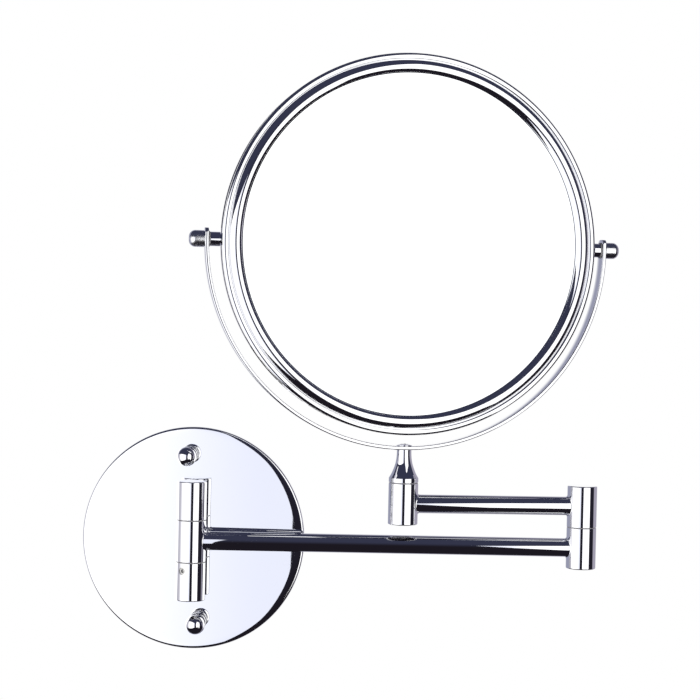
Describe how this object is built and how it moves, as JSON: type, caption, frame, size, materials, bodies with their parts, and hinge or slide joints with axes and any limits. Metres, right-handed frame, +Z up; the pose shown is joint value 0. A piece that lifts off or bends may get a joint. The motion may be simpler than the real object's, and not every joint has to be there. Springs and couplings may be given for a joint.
{
  "type": "extendable shaving mirror",
  "caption": "Round double-sided shaving mirror in a half-ring yoke, on a jointed swing arm hinged to a round wall plate.",
  "frame": {"origin": "centre of the wall plate's back face, on the wall", "axes": "+X to the right, +Y into the wall (the mirror faces -Y), +Z up"},
  "size_m": [0.2873, 0.0579, 0.3212],
  "materials": {
    "chrome": "polished",
    "mirror_glass": "polished",
    "steel": "satin",
    "nylon": "satin",
    "core_plastic": "moulded matt"
  },
  "bodies": {
    "wall_mount": {"wall_plate": "chrome", "backing_plate": "core_plastic", "ball_nuts": "chrome", "ball_nut_seats": "nylon", "hinge_knuckle_top": "chrome", "hinge_knuckle_bottom": "chrome", "stem_screws": "steel", "wall_hinge_pin": "steel", "pin_grub_screw": "steel", "wall_hinge_washers": "nylon"},
    "lower_arm": {"lower_arm_knuckle": "chrome", "lower_arm_bush": "nylon", "lower_arm_tube": "chrome", "lower_arm_elbow_knuckle": "chrome", "elbow_pin": "steel", "elbow_washer": "nylon"},
    "upper_arm": {"upper_arm_knuckle": "chrome", "upper_arm_bush": "nylon", "upper_arm_tube": "chrome", "swivel_barrel": "chrome", "swivel_bush": "nylon", "swivel_washer": "nylon"},
    "yoke": {"swivel_cone": "chrome", "swivel_pin": "steel", "swivel_spring_washer": "steel", "swivel_lock_nut": "steel", "yoke_strap": "chrome", "yoke_screw": "chrome"},
    "mirror": {"pivot_washers": "nylon", "pivot_collars": "chrome", "pivot_studs": "steel", "dome_nuts": "chrome", "mirror_hoop": "chrome", "front_bezel": "chrome", "rear_bezel": "chrome", "flat_glass": "mirror_glass", "magnifying_glass": "mirror_glass", "glass_core": "core_plastic"}
  },
  "joints": [
    {"name": "lower_arm_swing", "type": "hinge", "parent": "wall_mount", "child": "lower_arm", "pos_m": [0, -0.0185, 0], "axis": [0, 0, 1], "range_deg": [-185, 0]},
    {"name": "elbow_swing", "type": "hinge", "parent": "lower_arm", "child": "upper_arm", "pos_m": [0.2088, -0.00938, 0.0224], "axis": [0, 0, 1], "continuous": true},
    {"name": "head_swivel", "type": "hinge", "parent": "upper_arm", "child": "yoke", "pos_m": [0.11277, -0.01779, 0.0338], "axis": [0, 0, 1], "continuous": true},
    {"name": "mirror_flip", "type": "hinge", "parent": "yoke", "child": "mirror", "pos_m": [0.11277, -0.01779, 0.1602], "axis": [0.9763, 0.2164, 0], "continuous": true}
  ]
}
